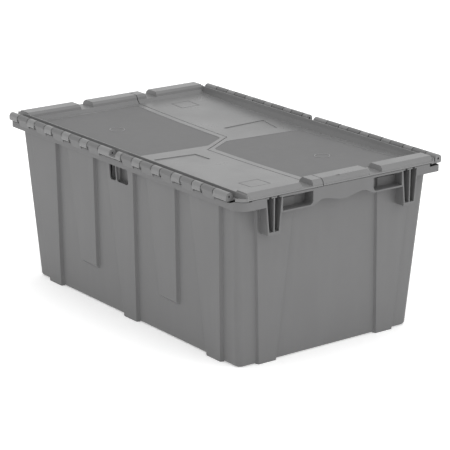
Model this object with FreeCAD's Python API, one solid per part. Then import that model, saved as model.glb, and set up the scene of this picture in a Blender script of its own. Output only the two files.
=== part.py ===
import FreeCAD, Part
import math
import os

# Attached lid tote: a tapered plastic box and two half lids, each hinged on steel rods along one
# long side. Millimetres. The origin is the middle of the base, +X runs along the length, +Y across
# and +Z up. Everything repeats under a half turn about Z, so each feature is drawn once, for the
# half whose lid is hinged on the -Y side, and turned for the other.

Vector = FreeCAD.Vector

# Overall size
LENGTH = 683.0
HALF_LENGTH = LENGTH / 2
RIM_HALF_WIDTH = 211.0
LID_TOP = 304.8

# Tub: a tapered shell
BASE_HALF_LENGTH = 301.5
BASE_HALF_WIDTH = 181.0
DRAFT_X = 17.5
DRAFT_Y = 20.0
WALL_TOP = 281.2
WALL = 3.0
BASE_CORNER_RADIUS = 10.5
TOP_CORNER_RADIUS = 9.5
BASE_EDGE_RADIUS = 6.0
FOOT_RECESS = 3.5
FOOT_WIDTH = 38.0

# Raised ribs of the walls, which are hollow inside
RIB_DEPTH = 5.5
RIB_FLANK = 3.0
LONG_SIDE_RIBS = (-240.0, 0.0, 240.0)
SHORT_SIDE_RIBS = (-120.0, 120.0)
SIDE_RIB_WIDTHS = (43.0, 86.0)
SHORT_RIB_START = 66.0
SHORT_RIB_RISE = 6.0
END_RIB_DEPTH = 4.5
END_RIBS = (-125.3, 125.3)
END_RIB_WIDTHS = (41.0, 82.5)

# Rim
RIM_BOTTOM = 276.8
SKIRT = 2.8
SIDE_FLANGE_TOP = 281.2
END_FLANGE_TOP = 292.6
FLANGE = 2.4
NOTCH_BOTTOM = 287.4
CORNER_TOP = 291.3
CORNER_SLOPE = (313.5, 326.0)
CHANNEL_INNER = 186.5
MOUTH_LIP_TOP = 288.2
RIM_CORNER_RADIUS = 22.0
KNUCKLE_CORNER_RADIUS = 8.0

# Hinge
HINGE_Y = 210.0
HINGE_Z = 297.0
BARREL_RADIUS = 6.8
ROD_RADIUS = 2.0
ROD_CLEARANCE = 0.06
KNUCKLE_PITCH = 56.6
LID_KNUCKLE_WIDTH = 22.0
KNUCKLE_GAP = 2.0
GROUP_STARTS = (-264.5, 63.5)
KNUCKLES_PER_GROUP = 4
FIRST_KNUCKLES = ((-336.0, -310.1), (5.0, 18.5))
WIDE_KNUCKLES = ((-48.0, -14.0), (278.5, 313.0))
BARREL_CORNER_RADIUS = 3.3
ARM_BOTTOM = 289.6
ARM_TOP = 292.0
BRIDGE_TOP = 293.4
RIDGE_OUTER = 197.0
ROD_END_GAP = 3.0

# Handle and gussets at each end
GUSSET_CENTRE = 142.5
GUSSET_HALF_TOP = 17.2
GUSSET_HALF_FOOT = 12.0
GUSSET_FOOT_Z = 229.5
GUSSET_PLATE = 2.4
GUSSET_FLOOR = 5.0
HANDLE_FLOOR_Z = 263.5
HANDLE_PLATE = 2.7
GRIP_HALF = 63.5
POCKET_TOP = 289.0

# Pair of pockets under the rim, in the middle rib of each long side
RIM_POCKETS = ((-30.5, -12.5), (-10.0, 24.0))
RIM_POCKET_FOOT_Z = 247.5
RIM_POCKET_BACK = 193.0
POCKET_WALL = 2.5

# Lids
PANEL = 2.4
PANEL_CENTRE_Z = 284.4
PANEL_END_Z = 290.2
PANEL_HALF = 300.0
SEAM_END = 42.5
SEAM = ((-HALF_LENGTH, SEAM_END), (-300.0, SEAM_END), (-25.0, 39.5),
        (25.0, -39.5), (300.0, -SEAM_END), (HALF_LENGTH, -SEAM_END))
SEAM_SHIFT = (-0.5, -0.75)
LID_END = 341.2
LID_FLANGE_BOTTOM = 293.2
LID_FLANGE_TOP = 295.8
BARS = ((-1, -195.0, -81.0), (-1, -57.0, SEAM_END), (1, -195.0, -84.5), (1, -64.5, -SEAM_END))
BAR_BEVEL = 2.5
TIE_NOTCH_Y = 8.0
BAR_WALL = 2.4
RIDGE_TOP = 302.0
TEXTURE_DEPTH = 0.5
LABEL_DEPTH = 1.2
TEXTURE_OUTLINE = ((-291.0, -178.0), (-10.0, -174.0), (3.0, -22.0),
                   (-25.0, 24.0), (-33.0, 27.5), (-291.0, 30.0))
LABEL_OUTLINE = ((24.0, -152.0), (35.0, -73.0), (78.0, -72.0), (83.0, -165.0))
NAMEPLATE_OUTLINE = ((232.0, -132.0), (268.0, -132.0), (268.0, -92.0), (232.0, -92.0))
GATE_MARK = (-176.5, -90.5)
GATE_MARK_RADIUS = 14.0
STIFFENER_DEPTH = 4.5
STIFFENER = 2.0


def box(x_range, y_range, z_range):
    """An upright box between the given limits."""
    size = [high - low for low, high in (x_range, y_range, z_range)]
    return Part.makeBox(*size, Vector(x_range[0], y_range[0], z_range[0]))


def polygon_face(points):
    """A flat face with straight sides through the given vectors."""
    return Part.Face(Part.makePolygon(points + [points[0]]))


def prism_x(outline, x_low, x_high):
    """A (y, z) outline drawn out along X."""
    points = [Vector(x_low, y, z) for y, z in outline]
    return polygon_face(points).extrude(Vector(x_high - x_low, 0, 0))


def prism_y(outline, y_low, y_high):
    """An (x, z) outline drawn out along Y."""
    points = [Vector(x, y_low, z) for x, z in outline]
    return polygon_face(points).extrude(Vector(0, y_high - y_low, 0))


def prism_z(outline, z_low, z_high):
    """An (x, y) outline drawn out along Z."""
    points = [Vector(x, y, z_low) for x, y in outline]
    return polygon_face(points).extrude(Vector(0, 0, z_high - z_low))


def rod_x(y, z, radius, x_low, x_high):
    """A round bar along X."""
    return Part.makeCylinder(radius, x_high - x_low, Vector(x_low, y, z), Vector(1, 0, 0))


def rounded_outline(half_x, half_y, z, radii):
    """A rectangle with round corners, from the (+X, +Y) corner round to (+X, -Y)."""
    edges = []
    corners = ((1, 1), (-1, 1), (-1, -1), (1, -1))
    starts = []
    ends = []
    for quarter, ((sign_x, sign_y), radius) in enumerate(zip(corners, radii)):
        centre = Vector(sign_x * (half_x - radius), sign_y * (half_y - radius), z)
        turn = quarter * 90.0
        arc = Part.makeCircle(radius, centre, Vector(0, 0, 1), turn, turn + 90.0)
        edges.append(arc)
        starts.append(arc.valueAt(arc.FirstParameter))
        ends.append(arc.valueAt(arc.LastParameter))
    for quarter in range(4):
        following = (quarter + 1) % 4
        edges.append(Part.makeLine(ends[quarter], starts[following]))
    return Part.Wire(Part.__sortEdges__(edges))


def half_turn(shape):
    """A copy turned half a turn about the Z axis."""
    turned = shape.copy()
    turned.rotate(Vector(0, 0, 0), Vector(0, 0, 1), 180)
    return turned


def both_halves(shapes):
    """The given shapes and their half-turned copies."""
    return list(shapes) + [half_turn(shape) for shape in shapes]


def join(shapes):
    """One shape made of all the given ones."""
    return shapes[0].multiFuse(shapes[1:])


def single_solid(shape):
    """The only solid of a shape, cleaned of split faces."""
    cleaned = shape.removeSplitter()
    if len(cleaned.Solids) != 1:
        raise ValueError("expected one solid, got %d" % len(cleaned.Solids))
    return cleaned.Solids[0]


def end_wall(z):
    """The end walls' distance from the middle at height z."""
    return BASE_HALF_LENGTH + DRAFT_X * z / WALL_TOP


def side_wall(z):
    """The long walls' distance from the middle at height z."""
    return BASE_HALF_WIDTH + DRAFT_Y * z / WALL_TOP


def between(limits, z):
    """A value that grows evenly from the base to the top of the wall."""
    low, high = limits
    return low + (high - low) * z / WALL_TOP


# ---------------------------------------------------------------- tub

def tub_block(inset, z_low, z_high):
    """The tapered block inside a skin of the given thickness."""
    wires = []
    for z in (z_low, z_high):
        radius = between((BASE_CORNER_RADIUS, TOP_CORNER_RADIUS), z) - inset
        wires.append(rounded_outline(end_wall(z) - inset, side_wall(z) - inset, z, [radius] * 4))
    return Part.makeLoft(wires, True, True)


def fillet_at_height(shape, z, radius):
    """Round every edge that lies in the plane at height z."""
    edges = []
    for edge in shape.Edges:
        limits = edge.BoundBox
        if abs(limits.ZMin - z) < 0.01 and abs(limits.ZMax - z) < 0.01:
            edges.append(edge)
    return shape.makeFillet(radius, edges)


def rib(wall, centre, widths, heights, inset):
    """An outward rib on the wall whose distance is wall(z), as (distance, along) sections.

    With an inset it is the hollow behind the rib's skin.
    """
    wires = []
    for z, depth in heights:
        half = between(widths, z) / 2 - inset
        inner = wall(z) - inset - 1.0
        outer = wall(z) - inset + depth
        flank = half - RIB_FLANK
        corners = [(inner, centre - half), (outer, centre - flank),
                   (outer, centre + flank), (inner, centre + half)]
        points = [Vector(distance, along, z) for distance, along in corners]
        wires.append(Part.makePolygon(points + [points[0]]))
    return Part.makeLoft(wires, True, True)


def all_ribs(inset):
    """Every rib of the tub, or the hollow behind each when inset is the wall's thickness."""
    low = inset
    high = RIM_BOTTOM if inset else WALL_TOP
    full = [(low, RIB_DEPTH), (high, RIB_DEPTH)]
    start = SHORT_RIB_START + inset
    short = [(start, 0.3), (start + SHORT_RIB_RISE, RIB_DEPTH), (high, RIB_DEPTH)]
    side = [rib(side_wall, centre, SIDE_RIB_WIDTHS, full, inset) for centre in LONG_SIDE_RIBS]
    side += [rib(side_wall, centre, SIDE_RIB_WIDTHS, short, inset) for centre in SHORT_SIDE_RIBS]
    for shape in side:
        shape.rotate(Vector(0, 0, 0), Vector(0, 0, 1), -90)
    end = [(low, END_RIB_DEPTH), (high, END_RIB_DEPTH)]
    ends = [rib(end_wall, centre, END_RIB_WIDTHS, end, inset) for centre in END_RIBS]
    return both_halves(side + ends)


def raised_floor(grow, top):
    """The middle of the floor, which stands up inside a flat foot that runs all round."""
    half_x = BASE_HALF_LENGTH - FOOT_WIDTH + grow
    half_y = BASE_HALF_WIDTH - FOOT_WIDTH + grow
    outline = rounded_outline(half_x, half_y, 0.0, [12.0 + grow] * 4)
    return Part.Face(outline).extrude(Vector(0, 0, top))


def tub_inside():
    """The space inside the tub and behind its ribs."""
    space = tub_block(WALL, WALL, END_FLANGE_TOP + 5).cut(raised_floor(WALL, FOOT_RECESS + WALL))
    return [space] + all_ribs(WALL)


# ---------------------------------------------------------------- rim

def rim_outline(inset, z):
    """The rim's outline: two corners are round and the two by the first knuckles are tighter."""
    round_corner = RIM_CORNER_RADIUS - inset
    tight_corner = KNUCKLE_CORNER_RADIUS - inset
    radii = [tight_corner, round_corner, tight_corner, round_corner]
    return rounded_outline(HALF_LENGTH - inset, RIM_HALF_WIDTH - inset, z, radii)


def rim_slab(inset, z_low, z_high):
    """A slab with the rim's outline."""
    return Part.Face(rim_outline(inset, z_low)).extrude(Vector(0, 0, z_high - z_low))


def end_undercut():
    """The space under the end flange, between the wall and the skirt, at the +X end."""
    slab = rim_slab(SKIRT, RIM_BOTTOM - 1, END_FLANGE_TOP - FLANGE)
    half = CHANNEL_INNER - FLANGE
    return slab.common(box((end_wall(END_FLANGE_TOP), HALF_LENGTH), (-half, half), (0, LID_TOP)))


def side_undercut():
    """The space under the -Y channel, between the wall and the skirt."""
    slab = rim_slab(SKIRT, RIM_BOTTOM - 1, SIDE_FLANGE_TOP - FLANGE)
    return slab.common(box((-HALF_LENGTH, CORNER_SLOPE[0]), (-RIM_HALF_WIDTH, -side_wall(SIDE_FLANGE_TOP)),
                           (0, LID_TOP)))


def corner_undercut():
    """The space under the round (+X, -Y) corner, whose top follows the sloping rim."""
    slope_start, slope_end = CORNER_SLOPE
    low = RIM_BOTTOM - 1
    outline = [(slope_start + 6, low), (slope_start + 6, NOTCH_BOTTOM - FLANGE),
               (slope_end + 1, CORNER_TOP - FLANGE), (HALF_LENGTH, CORNER_TOP - FLANGE), (HALF_LENGTH, low)]
    space = prism_y(outline, -RIM_HALF_WIDTH, -CHANNEL_INNER)
    return space.common(rim_slab(SKIRT, low, END_FLANGE_TOP))


def hinge_channel():
    """The low channel along the -Y side in which the lid's hinge arms swing."""
    top = LID_TOP + 1
    slope_start, slope_end = CORNER_SLOPE
    skirt_x = -(HALF_LENGTH - SKIRT)
    skirt_y = -(RIM_HALF_WIDTH - SKIRT)
    outside_x = -(HALF_LENGTH + 1)
    outside_y = -(RIM_HALF_WIDTH + 1)
    floor = box((skirt_x, slope_start), (skirt_y, -CHANNEL_INNER), (SIDE_FLANGE_TOP, top))
    edge = prism_y([(outside_x, NOTCH_BOTTOM), (slope_start, NOTCH_BOTTOM), (slope_end, CORNER_TOP),
                    (HALF_LENGTH + 1, CORNER_TOP), (HALF_LENGTH + 1, top), (outside_x, top)],
                   outside_y, skirt_y)
    corner = prism_y([(slope_start - 1, NOTCH_BOTTOM), (slope_start, NOTCH_BOTTOM),
                      (slope_end, CORNER_TOP), (HALF_LENGTH + 1, CORNER_TOP),
                      (HALF_LENGTH + 1, top), (slope_start - 1, top)], skirt_y - 1, -CHANNEL_INNER)
    low_corner = box((outside_x, skirt_x + 1), (outside_y, -CHANNEL_INNER), (NOTCH_BOTTOM, top))
    return join([floor, edge, corner, low_corner])


def mouth_lip():
    """The thin lip that carries the -Y wall up inside the hinge channel."""
    outer = -side_wall(SIDE_FLANGE_TOP)
    return box((-PANEL_HALF, PANEL_HALF), (outer, outer + WALL), (RIM_BOTTOM, MOUTH_LIP_TOP))


def rim():
    """The rim ring before the tub's mouth is cut: skirt, end flanges and hinge channels."""
    ring = rim_slab(0.0, RIM_BOTTOM, END_FLANGE_TOP)
    cuts = both_halves([end_undercut(), side_undercut(), corner_undercut(), hinge_channel()])
    return ring.cut(cuts)


# ---------------------------------------------------------------- hinge

def knuckle_bore(x_low, x_high):
    """The hole for the rod, drawn through a knuckle."""
    return rod_x(-HINGE_Y, HINGE_Z, ROD_RADIUS + ROD_CLEARANCE, x_low - 1, x_high + 1)


def regular_knuckles():
    """The X limits of the lid's plain knuckles along the -Y side."""
    limits = []
    for start in GROUP_STARTS:
        for count in range(KNUCKLES_PER_GROUP):
            centre = start + count * KNUCKLE_PITCH
            limits.append((centre - LID_KNUCKLE_WIDTH / 2, centre + LID_KNUCKLE_WIDTH / 2))
    return limits


def lid_knuckle_limits():
    """The X limits of every lid knuckle along the -Y side, in order."""
    return sorted(list(FIRST_KNUCKLES) + list(WIDE_KNUCKLES) + regular_knuckles())


def body_knuckle_limits():
    """The X limits of the tub's knuckles, which fill the gaps inside each group."""
    lids = lid_knuckle_limits()
    limits = []
    for (_, left), (right, _) in zip(lids, lids[1:]):
        if (right, _) != FIRST_KNUCKLES[1]:
            limits.append((left + KNUCKLE_GAP, right - KNUCKLE_GAP))
    return limits


def barrel_wire(points_before, points_after, x):
    """A closed outline whose top is the barrel's upper half circle, from outside to inside."""
    outside = Vector(x, -HINGE_Y - BARREL_RADIUS, HINGE_Z)
    inside = Vector(x, -HINGE_Y + BARREL_RADIUS, HINGE_Z)
    crown = Vector(x, -HINGE_Y, HINGE_Z + BARREL_RADIUS)
    edges = [Part.Arc(outside, crown, inside).toShape()]
    chain = [inside] + points_after + points_before + [outside]
    for start, end in zip(chain, chain[1:]):
        edges.append(Part.makeLine(start, end))
    return Part.Wire(edges)


def body_knuckle(x_low, x_high):
    """A tub knuckle: a barrel on a web that runs down into the rim."""
    web_outer = Vector(x_low, -RIM_HALF_WIDTH, SIDE_FLANGE_TOP + 2)
    foot_outer = Vector(x_low, -RIM_HALF_WIDTH, RIM_BOTTOM)
    foot_inner = Vector(x_low, -HINGE_Y + 5.5, RIM_BOTTOM)
    web_inner = Vector(x_low, -HINGE_Y + 5.5, SIDE_FLANGE_TOP + 4)
    outline = barrel_wire([foot_inner, foot_outer, web_outer], [web_inner], x_low)
    return Part.Face(outline).extrude(Vector(x_high - x_low, 0, 0))


def lid_knuckle(x_low, x_high):
    """A lid knuckle: a barrel with a squarer lower outer corner, on an arm to the ridge."""
    outer = -HINGE_Y - BARREL_RADIUS
    bottom = ARM_BOTTOM
    corner = BARREL_CORNER_RADIUS
    slant = corner * (1 - math.sqrt(0.5))
    corner_high = Vector(x_low, outer, bottom + corner)
    corner_mid = Vector(x_low, outer + slant, bottom + slant)
    corner_low = Vector(x_low, outer + corner, bottom)
    inside = Vector(x_low, -HINGE_Y + BARREL_RADIUS, HINGE_Z)
    outside = Vector(x_low, outer, HINGE_Z)
    crown = Vector(x_low, -HINGE_Y, HINGE_Z + BARREL_RADIUS)
    ridge_y = -RIDGE_OUTER + 1.0
    chain = [inside, Vector(x_low, -HINGE_Y + BARREL_RADIUS, ARM_TOP), Vector(x_low, ridge_y, ARM_TOP),
             Vector(x_low, ridge_y, bottom), corner_low]
    edges = [Part.Arc(outside, crown, inside).toShape(),
             Part.Arc(corner_low, corner_mid, corner_high).toShape(),
             Part.makeLine(corner_high, outside)]
    for start, end in zip(chain, chain[1:]):
        edges.append(Part.makeLine(start, end))
    face = Part.Face(Part.Wire(Part.__sortEdges__(edges)))
    return face.extrude(Vector(x_high - x_low, 0, 0))


def knuckle_bridge():
    """The low web between the lid's middle knuckles, where the two rods end."""
    limits = (WIDE_KNUCKLES[0][1], FIRST_KNUCKLES[1][0])
    return lid_knuckle(*limits).common(box(limits, (-HINGE_Y - BARREL_RADIUS, 0), (0, BRIDGE_TOP)))


def hinge_rods():
    """The two rods of the -Y side, one per knuckle group."""
    lids = lid_knuckle_limits()
    split = lids.index(FIRST_KNUCKLES[1])
    rods = []
    for group in (lids[:split], lids[split:]):
        start = group[0][0] + ROD_END_GAP
        end = group[-1][1] - ROD_END_GAP
        rods.append(rod_x(-HINGE_Y, HINGE_Z, ROD_RADIUS, start, end))
    return rods


# ---------------------------------------------------------------- ends of the tub

def gusset(centre):
    """Three upright plates and a floor under the +X rim, with two open slots between them."""
    wall_x = end_wall(GUSSET_FOOT_Z) - 1
    top = END_FLANGE_TOP
    outline = [(centre - GUSSET_HALF_FOOT, GUSSET_FOOT_Z), (centre + GUSSET_HALF_FOOT, GUSSET_FOOT_Z),
               (centre + GUSSET_HALF_TOP, top), (centre - GUSSET_HALF_TOP, top)]
    return prism_x(outline, wall_x, HALF_LENGTH)


def gusset_slots(centre):
    """The two slots of a gusset, open to the front, each with a small notch through the rim."""
    low = GUSSET_FOOT_Z + GUSSET_FLOOR
    high = END_FLANGE_TOP - FLANGE
    middle = GUSSET_PLATE / 2
    slots = []
    for side in (-1, 1):
        foot = centre + side * (GUSSET_HALF_FOOT - GUSSET_PLATE)
        head = centre + side * (GUSSET_HALF_TOP - GUSSET_PLATE)
        inner = centre + side * middle
        outline = [(inner, low), (foot, low), (head, high), (inner, high)]
        slots.append(prism_x(outline, end_wall(END_FLANGE_TOP), HALF_LENGTH + 1))
        notch_middle = (inner + head) / 2
        slots.append(box((HALF_LENGTH - 7, HALF_LENGTH + 1), (notch_middle - 2.5, notch_middle + 2.5),
                         (high - 1, END_FLANGE_TOP + 1)))
    return slots


def grip_outline():
    """The front of the handle: straight floors each side and a waved finger edge between."""
    top = END_FLANGE_TOP
    reach = GUSSET_CENTRE - GUSSET_HALF_TOP + 2
    x = end_wall(HANDLE_FLOOR_Z) - 1
    wave_half = 42.0
    count = 16
    wave = []
    for step in range(count + 1):
        y = -wave_half + 2 * wave_half * step / count
        z = 268.5 - 3.5 * math.cos(math.pi * y / wave_half)
        wave.append(Vector(x, y, z))
    curve = Part.BSplineCurve()
    left_foot = Vector(x, -GRIP_HALF, HANDLE_FLOOR_Z)
    right_foot = Vector(x, GRIP_HALF, HANDLE_FLOOR_Z)
    left_rise = Vector(x, -53.0, 268.5)
    right_rise = Vector(x, 53.0, 268.5)
    curve.interpolate([left_foot, left_rise] + wave + [right_rise, right_foot])
    corners = [right_foot, Vector(x, reach, HANDLE_FLOOR_Z), Vector(x, reach, top),
               Vector(x, -reach, top), Vector(x, -reach, HANDLE_FLOOR_Z), left_foot]
    edges = [curve.toShape()]
    for start, end in zip(corners, corners[1:]):
        edges.append(Part.makeLine(start, end))
    return Part.Wire(edges)


def grip():
    """The +X handle as a solid block, before its pockets are cut."""
    depth = HALF_LENGTH - end_wall(HANDLE_FLOOR_Z) + 1
    return Part.Face(grip_outline()).extrude(Vector(depth, 0, 0))


def grip_hollows():
    """The finger space behind the grip, and the open-fronted pocket on each side of it."""
    deep = end_wall(END_FLANGE_TOP)
    floor = HANDLE_FLOOR_Z + HANDLE_PLATE
    finger = box((deep, HALF_LENGTH - SKIRT), (-GRIP_HALF + 2.4, GRIP_HALF - 2.4),
                 (HANDLE_FLOOR_Z - 10, END_FLANGE_TOP - FLANGE))
    hollows = [finger]
    far = GUSSET_CENTRE - GUSSET_HALF_TOP
    for side in (-1, 1):
        limits = sorted((side * GRIP_HALF, side * far))
        pocket = box((deep, HALF_LENGTH + 1), limits, (floor, POCKET_TOP))
        inner_edges = []
        for edge in pocket.Edges:
            centre = edge.CenterOfMass
            if abs(centre.y - side * GRIP_HALF) < 0.1 and abs(centre.z - floor) < 0.1:
                inner_edges.append(edge)
        hollows.append(pocket.makeFillet(7.0, inner_edges))
    return hollows


def rim_pocket_block():
    """The thickened part of the -Y wall that the rim pockets are cut into."""
    low_x = RIM_POCKETS[0][0] - POCKET_WALL
    high_x = RIM_POCKETS[-1][1] + POCKET_WALL
    outer = -side_wall(RIM_POCKET_FOOT_Z)
    return box((low_x, high_x), (outer, -RIM_POCKET_BACK + POCKET_WALL), (RIM_POCKET_FOOT_Z - 6, WALL_TOP))


def rim_pockets():
    """The two deep pockets under the -Y rim, with rounded lower corners."""
    pockets = []
    for low_x, high_x in RIM_POCKETS:
        depth = (-RIM_HALF_WIDTH + SKIRT, -RIM_POCKET_BACK)
        pocket = box((low_x, high_x), depth, (RIM_POCKET_FOOT_Z, RIM_BOTTOM))
        corners = []
        for edge in pocket.Edges:
            limits = edge.BoundBox
            if limits.ZMax < RIM_POCKET_FOOT_Z + 0.1 and limits.YLength > 5:
                corners.append(edge)
        pockets.append(pocket.makeFillet(5.0, corners))
    return pockets


def tub_outside():
    """The tub with its ribs, filled solid."""
    tub = fillet_at_height(tub_block(0.0, 0.0, WALL_TOP), 0.0, BASE_EDGE_RADIUS)
    return join([tub] + all_ribs(0.0))


def tote_body():
    """The whole tub: one moulding."""
    knuckle_limits = body_knuckle_limits()
    gusset_centres = (-GUSSET_CENTRE, GUSSET_CENTRE)
    fittings = [gusset(centre) for centre in gusset_centres] + [grip()]
    fittings += [body_knuckle(low, high) for low, high in knuckle_limits]
    fittings += [mouth_lip()]
    hollows = grip_hollows()
    for centre in gusset_centres:
        hollows += gusset_slots(centre)
    bores = [knuckle_bore(low, high) for low, high in knuckle_limits]
    fitted = join([rim()] + both_halves(fittings)).cut(both_halves(hollows))
    hollow = tub_outside().fuse(fitted).cut(tub_inside() + [raised_floor(0.0, FOOT_RECESS)])
    body = hollow.fuse(both_halves([rim_pocket_block()])).cut(both_halves(bores + rim_pockets()))
    return single_solid(body)


# ---------------------------------------------------------------- lids

def panel_height(x):
    """The top of the gently sagging lid panel."""
    sag = PANEL_END_Z - PANEL_CENTRE_Z
    radius = (PANEL_HALF ** 2 + sag ** 2) / (2 * sag)
    return PANEL_CENTRE_Z + radius - math.sqrt(radius ** 2 - x ** 2)


def panel_arc(y, offset, half):
    """The panel's curved line in the plane y, moved by offset in height."""
    points = [Vector(x, y, panel_height(x) + offset) for x in (-half, 0.0, half)]
    return Part.Arc(*points).toShape()


def sheet_under(y_low, y_high, offset, depth, half):
    """A curved sheet that follows the panel, its top moved by offset."""
    top = panel_arc(y_low, offset, half)
    bottom = panel_arc(y_low, offset - depth, half)
    edges = [top, bottom]
    for end in (0, 1):
        edges.append(Part.makeLine(top.Vertexes[end].Point, bottom.Vertexes[end].Point))
    face = Part.Face(Part.Wire(Part.__sortEdges__(edges)))
    return face.extrude(Vector(0, y_high - y_low, 0))


def lid_end(sign):
    """The slanted wall and the flange at one end of the lid."""
    corner = PANEL_HALF + 4.6
    outline = [(PANEL_HALF - 1, PANEL_END_Z), (PANEL_HALF, PANEL_END_Z), (corner, LID_FLANGE_TOP),
               (LID_END, LID_FLANGE_TOP), (LID_END, LID_FLANGE_BOTTOM), (corner + 1.6, LID_FLANGE_BOTTOM),
               (PANEL_HALF + 1.8, PANEL_END_Z - PANEL), (PANEL_HALF - 1, PANEL_END_Z - PANEL)]
    outline = [(sign * x, z) for x, z in outline]
    flange = box(sorted((sign * corner, sign * LID_END)), (-RIDGE_OUTER + 1, -188.0),
                 (LID_FLANGE_BOTTOM, LID_FLANGE_TOP))
    return prism_y(outline, -190.5, 60.0).fuse(flange)


def ridge():
    """The upstanding ridge along the hinge side, cut short where the round corner is high."""
    low = PANEL_CENTRE_Z - PANEL
    section = [(-RIDGE_OUTER, ARM_BOTTOM), (-RIDGE_OUTER + 2.4, RIDGE_TOP), (-RIDGE_OUTER + 3.8, RIDGE_TOP),
               (-RIDGE_OUTER + 5.2, 295.0), (-RIDGE_OUTER + 8.2, PANEL_CENTRE_Z), (-RIDGE_OUTER + 8.2, low),
               (-RIDGE_OUTER + 6.2, low), (-RIDGE_OUTER + 2.5, ARM_BOTTOM)]
    clear_end = CORNER_SLOPE[0] - 1
    bar = prism_x(section, -LID_END, LID_END)
    sides = (-RIDGE_OUTER - 3, -RIDGE_OUTER + 17)
    in_channel = box((-LID_END - 1, -PANEL_HALF), sides, (0, ARM_BOTTOM + 0.4))
    over_mouth = box((PANEL_HALF, clear_end), sides, (0, ARM_BOTTOM + 0.4))
    beside_skirt = box((-LID_END - 1, -HALF_LENGTH + SKIRT + 0.5), sides, (0, LID_FLANGE_BOTTOM))
    over_corner = box((clear_end, LID_END + 1), sides, (0, LID_FLANGE_BOTTOM))
    return bar.cut([in_channel, over_mouth, beside_skirt, over_corner])


def bar_section(inset):
    """The (x, z) outline of a raised end bar on the +X end, or of the hollow inside it."""
    top = LID_TOP - inset
    if inset:
        return [(305.6, 285.0), (309.2, 300.6), (312.6, top), (333.4, top), (LID_END - inset - 1.2, 298.8),
                (LID_END - inset, 285.0)]
    return [(303.0, 288.4), (306.8, 300.8), (311.2, top), (334.5, top), (339.6, 300.5),
            (LID_END, LID_FLANGE_BOTTOM), (305.0, LID_FLANGE_BOTTOM)]


def end_bar(sign, y_low, y_high, inset):
    """A raised bar with nearly upright ends, or the hollow inside it."""
    outline = [(sign * x, z) for x, z in bar_section(inset)]
    bar = prism_y(outline, y_low + inset, y_high - inset)
    base_z = LID_FLANGE_BOTTOM
    low = y_low + inset
    high = y_high - inset
    slope = BAR_BEVEL
    at_seam = abs(abs(y_high) - SEAM_END) < 0.1
    far_slope = 0.0 if at_seam else slope
    profile = [(low, 280.0), (low, base_z), (low + slope, LID_TOP + 1), (high - far_slope, LID_TOP + 1),
               (high, base_z), (high, 280.0)]
    return bar.common(prism_x(profile, -LID_END - 1, LID_END + 1))


def tie_notch():
    """A small notch in the outer top edge of the longer -X bar, for a seal or tie."""
    across = (TIE_NOTCH_Y - 3.5, TIE_NOTCH_Y + 3.5)
    return box((-LID_END - 1, -LID_END + 8), across, (LID_TOP - 1.4, LID_TOP + 1))


def lid_corner():
    """The plate and lip that wrap over the round (+X, -Y) corner of the rim."""
    bottom = CORNER_TOP + 0.6
    plate_top = 294.0
    lip_top = 297.4
    start = CORNER_SLOPE[1] + 1
    footprint = box((start, HALF_LENGTH), (-RIM_HALF_WIDTH, -RIDGE_OUTER + 4), (0, 400))
    plate = rim_slab(0.3, bottom, plate_top).common(footprint)
    lip = rim_slab(0.3, bottom, lip_top).cut(rim_slab(2.7, bottom - 1, lip_top + 1)).common(footprint)
    edge = prism_x([(-RIM_HALF_WIDTH - 1, bottom - 1), (-RIM_HALF_WIDTH + 2.4, bottom - 1),
                    (-RIM_HALF_WIDTH + 2.4, bottom), (-RIM_HALF_WIDTH - 1, bottom + 3.0)], 300, 350)
    return plate.fuse(lip).cut(edge)


def lid_footprint():
    """Everything on the hinge side of the seam between the two lids."""
    shift_x, shift_y = SEAM_SHIFT
    line = [(x + shift_x, y + shift_y) for x, y in SEAM]
    line[0] = (-HALF_LENGTH - 5, line[0][1])
    line[-1] = (HALF_LENGTH + 5, line[-1][1])
    far = -RIM_HALF_WIDTH - 10
    return prism_z(line + [(HALF_LENGTH + 5, far), (-HALF_LENGTH - 5, far)], 200, 400)


def stiffeners():
    """Low ribs under the lid's panel."""
    ribs = []
    for y in (-150.0, -100.0, -52.0):
        ribs.append(sheet_under(y - STIFFENER / 2, y + STIFFENER / 2, 0.5 - PANEL, STIFFENER_DEPTH, 284.0))
    for x in (-284.0, -190.0, -95.0, 0.0, 95.0, 190.0, 284.0):
        top = panel_height(x) + 0.5 - PANEL
        end = -52.0 if x > -30 else 27.0
        width = (x - STIFFENER / 2, x + STIFFENER / 2)
        ribs.append(box(width, (-150.0, end), (top - STIFFENER_DEPTH, top)))
    return ribs


def shallow_recess(outline, depth):
    """A recess of even depth in the curved panel, with the given (x, y) outline."""
    block = prism_z(outline, PANEL_CENTRE_Z - 10, PANEL_END_Z + 3)
    return block.common(sheet_under(-200, 60, 8.0, 8.0 + depth, PANEL_HALF - 2))


def frame_groove(outline, width, depth):
    """A shallow groove along the inside of an (x, y) outline."""
    middle_x = sum(x for x, y in outline) / len(outline)
    middle_y = sum(y for x, y in outline) / len(outline)
    inner = []
    for x, y in outline:
        inner.append((x + math.copysign(width, middle_x - x), y + math.copysign(width, middle_y - y)))
    return shallow_recess(outline, depth).cut(shallow_recess(inner, depth + 1))


def gate_ring():
    """The low ring that is left standing in the textured panel, where the plastic is fed in."""
    foot = Vector(*GATE_MARK, PANEL_CENTRE_Z - 10)
    outer, inner = (Part.makeCylinder(GATE_MARK_RADIUS - inset, 20, foot) for inset in (0.0, 1.6))
    return outer.cut(inner)


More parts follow.
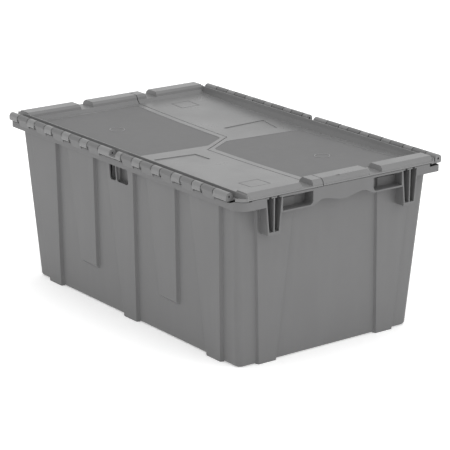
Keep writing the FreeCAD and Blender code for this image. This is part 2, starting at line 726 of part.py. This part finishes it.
def lid_left():
    """The lid hinged on the -Y side: one moulding."""
    bars = [end_bar(sign, low, high, 0.0) for sign, low, high in BARS]
    hollows = [end_bar(sign, low, high, BAR_WALL) for sign, low, high in BARS]
    knuckles = [lid_knuckle(low, high) for low, high in lid_knuckle_limits()]
    bores = [knuckle_bore(low, high) for low, high in lid_knuckle_limits()]
    sheet = sheet_under(-190.5, 60.0, 0.0, PANEL, PANEL_HALF)
    edges = [lid_end(-1), lid_end(1), ridge(), lid_corner(), knuckle_bridge()]
    lid = join([sheet] + edges + bars + knuckles + stiffeners())
    lid = lid.common(lid_footprint())
    texture = shallow_recess(TEXTURE_OUTLINE, TEXTURE_DEPTH).cut(gate_ring())
    label = shallow_recess(LABEL_OUTLINE, LABEL_DEPTH)
    plate = frame_groove(NAMEPLATE_OUTLINE, 1.5, 0.6)
    return single_solid(lid.cut(hollows + bores + [texture, label, plate, tie_notch()]))


def main():
    parts = {"tote_body": tote_body(), "lid_left": lid_left()}
    parts["lid_right"] = half_turn(parts["lid_left"])
    back, front = hinge_rods()
    parts["hinge_rod_left_back"] = back
    parts["hinge_rod_left_front"] = front
    parts["hinge_rod_right_front"] = half_turn(back)
    parts["hinge_rod_right_back"] = half_turn(front)
    os.makedirs("parts", exist_ok=True)
    for name, shape in parts.items():
        shape.exportStep("parts/%s.step" % name)


main()
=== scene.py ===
import bpy
import math
from mathutils import Euler, Matrix, Vector

# Attached lid tote: the CAD parts keep their shapes and get moulded-plastic and steel materials,
# on a white studio floor. Metres, in the CAD frame: +X length, +Y width, +Z up.

CAMERA_PLACE = (2.7729, -2.0692, 1.1962)
CAMERA_YAW = 143.04
CAMERA_PITCH = -17.04
CAMERA_ROLL = 0.21
CAMERA_LENS = 164.5
SENSOR = 36.0

TUB_COLOUR = (0.137, 0.137, 0.138)
LID_COLOUR = (0.171, 0.171, 0.172)
PANEL_COLOUR = (0.165, 0.165, 0.166)
STEEL_COLOUR = (0.42, 0.42, 0.43)

# The textured part of the panel of the lid on the -Y side, and the smooth ring left in it
PANEL_OUTLINE = ((-0.291, -0.178), (-0.010, -0.174), (0.003, -0.022),
                 (-0.025, 0.024), (-0.033, 0.0275), (-0.291, 0.030))
GATE_MARK = (-0.1765, -0.0905)
GATE_RING = (0.0120, 0.0142)
FLAT_ENOUGH = 0.95

# Detail of the moulded plastic: noise scales per metre, and the radius of the edges that get a painted
# highlight
MOTTLING_SCALE = 14.0
FLOW_STRETCH = (60.0, 60.0, 5.0)
GRAIN_SCALE = 1100.0
EDGE_RADIUS = 0.0011
# How much paler the sharp edges are painted: a painted highlight along the edges
EDGE_HIGHLIGHT_TONE = 1.40

# Detail of the steel: noise stretched along the wire, and dull patches
WIRE_STRETCH = (40.0, 2500.0, 2500.0)
DULL_SCALE = 120.0
WIRE_LINE_HEIGHT = 0.00005

# Studio: place, target, size and power of each lamp
KEY_LIGHT = ((3.6, 0.8, 2.2), (0, 0, 0.2), 2.2, 22.0)
TOP_LIGHT = ((0.2, 0.2, 3.3), (0, 0, 0.3), 2.2, 17.0)
WHITE = (1.0, 1.0, 1.0, 1.0)
FLOOR_HALF = 15.0
FLOOR_GLOW = 0.25


def new_material(name):
    """A new node material: the material, its nodes, its links and its shader."""
    material = bpy.data.materials.new(name)
    material.use_nodes = True
    nodes = material.node_tree.nodes
    return material, nodes, material.node_tree.links, nodes["Principled BSDF"]


def add_node(nodes, kind, **inputs):
    """A node with its named inputs set."""
    node = nodes.new(kind)
    for name, value in inputs.items():
        node.inputs[name.replace("_", " ")].default_value = value
    return node


def noise(nodes, links, position, scale, detail):
    """A noise value at a position, of the given scale per metre."""
    node = add_node(nodes, "ShaderNodeTexNoise", Scale=scale, Detail=detail, Roughness=0.5)
    links.new(position, node.inputs["Vector"])
    return node.outputs["Fac"]


def stretched(nodes, links, position, scale):
    """A position squeezed by a different amount along each axis."""
    node = nodes.new("ShaderNodeMapping")
    node.inputs["Scale"].default_value = scale
    links.new(position, node.inputs["Vector"])
    return node.outputs["Vector"]


def spread(nodes, links, value, low, high, out_low, out_high):
    """A value taken from one range to another and held inside it."""
    node = nodes.new("ShaderNodeMapRange")
    node.clamp = True
    for index, limit in enumerate((low, high, out_low, out_high), start=1):
        node.inputs[index].default_value = limit
    links.new(value, node.inputs["Value"])
    return node.outputs["Result"]


def math_node(nodes, links, operation, first, second):
    """The result of a sum on two values, each a socket or a number."""
    node = nodes.new("ShaderNodeMath")
    node.operation = operation
    for socket, value in zip(node.inputs, (first, second)):
        if isinstance(value, (int, float)):
            socket.default_value = value
        else:
            links.new(value, socket)
    return node.outputs["Value"]


def shaded(colour, factor):
    """A colour made lighter or darker, with full opacity."""
    return tuple(min(1.0, channel * factor) for channel in colour) + (1.0,)


def mix_colours(nodes, links, factor, low, high):
    """A colour between two, each a socket or a colour."""
    node = nodes.new("ShaderNodeMix")
    node.data_type = "RGBA"
    links.new(factor, node.inputs["Factor"])
    for socket, value in ((node.inputs["A"], low), (node.inputs["B"], high)):
        if isinstance(value, tuple):
            socket.default_value = value
        else:
            links.new(value, socket)
    return node.outputs["Result"]


def edge_sharpness(nodes, links, radius):
    """How sharp the shape turns, from 0 on flats to 1 on an edge, and the softened normal."""
    bevel = nodes.new("ShaderNodeBevel")
    bevel.samples = 4
    bevel.inputs["Radius"].default_value = radius
    geometry = nodes.new("ShaderNodeNewGeometry")
    dot = nodes.new("ShaderNodeVectorMath")
    dot.operation = "DOT_PRODUCT"
    links.new(bevel.outputs["Normal"], dot.inputs[0])
    links.new(geometry.outputs["Normal"], dot.inputs[1])
    return spread(nodes, links, dot.outputs["Value"], 0.995, 0.86, 0.0, 1.0), bevel.outputs["Normal"]


def moulded_plastic(name, colour, rough_low, rough_high, grain_height, gloss):
    """Moulded polyethylene: mottled, grained, and with a painted highlight in patches along its sharp
    edges.
    """
    material, nodes, links, shader = new_material(name)
    position = nodes.new("ShaderNodeTexCoord").outputs["Object"]
    mottling = noise(nodes, links, position, MOTTLING_SCALE, 5.0)
    flow = noise(nodes, links, stretched(nodes, links, position, FLOW_STRETCH), 1.0, 3.0)
    grain = noise(nodes, links, position, GRAIN_SCALE, 2.0)
    tint = mix_colours(nodes, links, spread(nodes, links, mottling, 0.3, 0.7, 0.0, 1.0),
                       shaded(colour, 0.95), shaded(colour, 1.05))
    streak = mix_colours(nodes, links, spread(nodes, links, flow, 0.45, 0.75, 0.0, 0.5),
                         tint, shaded(colour, 1.08))
    speckle = mix_colours(nodes, links, spread(nodes, links, grain, 0.35, 0.65, 0.25, 0.0),
                          streak, shaded(colour, 0.80))
    # Sharp edges are painted paler in patches: a painted highlight along the edges
    edge_mask, soft_normal = edge_sharpness(nodes, links, EDGE_RADIUS)
    patchy = spread(nodes, links, mottling, 0.3, 0.6, 0.25, 0.6)
    painted_edge_highlight = math_node(nodes, links, "MULTIPLY", edge_mask, patchy)
    final = mix_colours(nodes, links, painted_edge_highlight, speckle, shaded(colour, EDGE_HIGHLIGHT_TONE))
    links.new(final, shader.inputs["Base Color"])
    bump = add_node(nodes, "ShaderNodeBump", Strength=0.35, Distance=grain_height)
    links.new(grain, bump.inputs["Height"])
    links.new(soft_normal, bump.inputs["Normal"])
    links.new(bump.outputs["Normal"], shader.inputs["Normal"])
    patches = math_node(nodes, links, "ADD", math_node(nodes, links, "MULTIPLY", mottling, 0.6),
                        math_node(nodes, links, "MULTIPLY", grain, 0.4))
    roughness = spread(nodes, links, patches, 0.35, 0.65, rough_low, rough_high)
    links.new(roughness, shader.inputs["Roughness"])
    shader.inputs["Specular IOR Level"].default_value = gloss
    return material


def wire_steel(name):
    """Drawn steel wire with fine lines along it and dull patches."""
    material, nodes, links, shader = new_material(name)
    shader.inputs["Metallic"].default_value = 1.0
    position = nodes.new("ShaderNodeTexCoord").outputs["Object"]
    lines = noise(nodes, links, stretched(nodes, links, position, WIRE_STRETCH), 1.0, 3.0)
    dull = noise(nodes, links, position, DULL_SCALE, 4.0)
    tone = math_node(nodes, links, "ADD", math_node(nodes, links, "MULTIPLY", lines, 0.5),
                     math_node(nodes, links, "MULTIPLY", dull, 0.5))
    factor = spread(nodes, links, tone, 0.35, 0.65, 0.0, 1.0)
    links.new(mix_colours(nodes, links, factor, shaded(STEEL_COLOUR, 0.7), shaded(STEEL_COLOUR, 1.15)),
              shader.inputs["Base Color"])
    links.new(spread(nodes, links, tone, 0.35, 0.65, 0.5, 0.28), shader.inputs["Roughness"])
    bump = add_node(nodes, "ShaderNodeBump", Strength=0.3, Distance=WIRE_LINE_HEIGHT)
    links.new(lines, bump.inputs["Height"])
    links.new(bump.outputs["Normal"], shader.inputs["Normal"])
    return material


def inside_outline(x, y, outline):
    """Whether a point lies inside a closed outline."""
    inside = False
    for (x0, y0), (x1, y1) in zip(outline, outline[1:] + outline[:1]):
        if (y0 > y) != (y1 > y) and x < x0 + (x1 - x0) * (y - y0) / (y1 - y0):
            inside = not inside
    return inside


def is_textured(x, y):
    """Whether the -Y lid's panel has the rough texture at a point."""
    from_gate = math.hypot(x - GATE_MARK[0], y - GATE_MARK[1])
    on_ring = GATE_RING[0] < from_gate < GATE_RING[1]
    return inside_outline(x, y, PANEL_OUTLINE) and not on_ring


def dress(node, materials):
    """Give a CAD node its materials, the first one everywhere to begin with."""
    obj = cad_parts[node]
    obj.data.materials.clear()
    for material in materials:
        obj.data.materials.append(material)
    for polygon in obj.data.polygons:
        polygon.material_index = 0
    return obj


def dress_lid(node, turn):
    """Give a lid its smooth plastic, and the rough one inside its panel's outline."""
    obj = dress(node, [lid_plastic, panel_plastic])
    for polygon in obj.data.polygons:
        x, y, _ = polygon.center
        if polygon.normal.z > FLAT_ENOUGH and is_textured(turn * x, turn * y):
            polygon.material_index = 1


def place_camera():
    """A long lens at the height and angle of the reference view."""
    camera = bpy.data.objects.new("camera", bpy.data.cameras.new("camera"))
    camera.data.lens = CAMERA_LENS
    camera.data.sensor_width = SENSOR
    camera.data.clip_end = 50.0
    aim = Euler((math.radians(90 + CAMERA_PITCH), 0.0, math.radians(CAMERA_YAW - 90))).to_matrix()
    turned = aim @ Matrix.Rotation(math.radians(CAMERA_ROLL), 3, "Z")
    camera.location = CAMERA_PLACE
    camera.rotation_euler = turned.to_euler()
    bpy.context.scene.collection.objects.link(camera)
    bpy.context.scene.camera = camera


def area_light(name, place, target, size, power):
    """A square soft light that faces a point."""
    lamp = bpy.data.lights.new(name, "AREA")
    lamp.size = size
    lamp.energy = power
    obj = bpy.data.objects.new(name, lamp)
    obj.location = place
    aim = Vector(target) - Vector(place)
    obj.rotation_euler = aim.to_track_quat("-Z", "Y").to_euler()
    bpy.context.scene.collection.objects.link(obj)


def studio():
    """A plain white floor, a white surround, and large soft lights from the end and from above."""
    mesh = bpy.data.meshes.new("floor")
    half = FLOOR_HALF
    corners = [(-half, -half, 0), (half, -half, 0), (half, half, 0), (-half, half, 0)]
    mesh.from_pydata(corners, [], [(0, 1, 2, 3)])
    floor = bpy.data.objects.new("floor", mesh)
    bpy.context.scene.collection.objects.link(floor)
    material, _, _, shader = new_material("white_floor")
    shader.inputs["Base Color"].default_value = WHITE
    shader.inputs["Roughness"].default_value = 1.0
    shader.inputs["Specular IOR Level"].default_value = 0.0
    shader.inputs["Emission Color"].default_value = WHITE
    shader.inputs["Emission Strength"].default_value = FLOOR_GLOW
    mesh.materials.append(material)
    world = bpy.data.worlds.new("studio")
    world.use_nodes = True
    background = world.node_tree.nodes["Background"]
    background.inputs["Color"].default_value = WHITE
    background.inputs["Strength"].default_value = 1.0
    bpy.context.scene.world = world
    bpy.context.scene.view_settings.view_transform = "Standard"
    area_light("key", *KEY_LIGHT)
    area_light("top", *TOP_LIGHT)


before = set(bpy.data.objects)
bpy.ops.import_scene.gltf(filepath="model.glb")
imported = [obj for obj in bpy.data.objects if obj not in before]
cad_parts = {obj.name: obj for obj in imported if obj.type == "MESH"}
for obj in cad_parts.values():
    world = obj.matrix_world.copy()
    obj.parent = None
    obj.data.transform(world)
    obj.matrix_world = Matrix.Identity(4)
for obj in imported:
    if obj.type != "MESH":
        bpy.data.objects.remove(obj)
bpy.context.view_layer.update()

tub_plastic = moulded_plastic("tub_plastic", TUB_COLOUR, 0.42, 0.60, 0.00012, 0.42)
lid_plastic = moulded_plastic("lid_plastic", LID_COLOUR, 0.26, 0.42, 0.00006, 0.5)
panel_plastic = moulded_plastic("lid_panel_texture", PANEL_COLOUR, 0.72, 0.90, 0.0004, 0.25)
steel = wire_steel("rod_steel")
dress("tote_body", [tub_plastic])
dress_lid("lid_left", 1)
dress_lid("lid_right", -1)
for side in ("left", "right"):
    for end in ("back", "front"):
        dress("hinge_rod_%s_%s" % (side, end), [steel])
place_camera()
studio()
